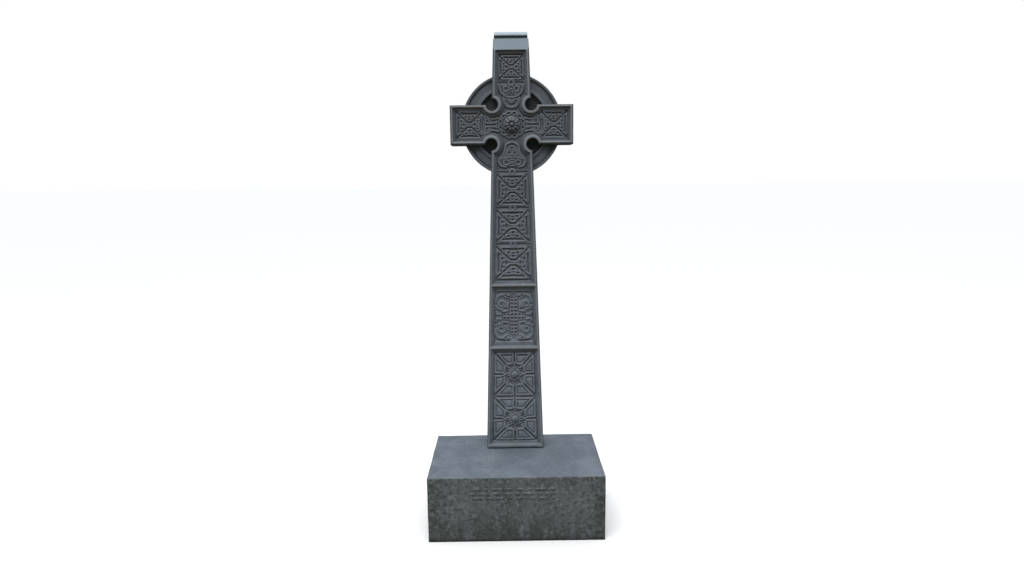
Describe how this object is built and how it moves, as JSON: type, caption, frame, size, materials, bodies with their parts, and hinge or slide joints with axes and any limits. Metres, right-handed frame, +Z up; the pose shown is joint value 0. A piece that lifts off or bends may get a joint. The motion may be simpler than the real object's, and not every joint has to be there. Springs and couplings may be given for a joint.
{
  "type": "celtic cross gravestone",
  "caption": "Tall ringed Celtic cross of carved granite with knotwork, beast and ray panels, standing on a plain rectangular granite base block.",
  "frame": {"origin": "centre of the base block's underside, on the ground", "axes": "+Z up, the carved front faces -Y, +X to the right seen from the front"},
  "size_m": [1.067, 0.704, 3.0383],
  "materials": {
    "carved_granite": "fine-axed grey granite, carved, weathered, with dark soiling in the recesses",
    "base_granite": "axed grey granite, weathered, with pale washed top and mossy streaks"
  },
  "bodies": {
    "root": {"cross": "carved_granite", "base_block": "base_granite"}
  },
  "joints": []
}
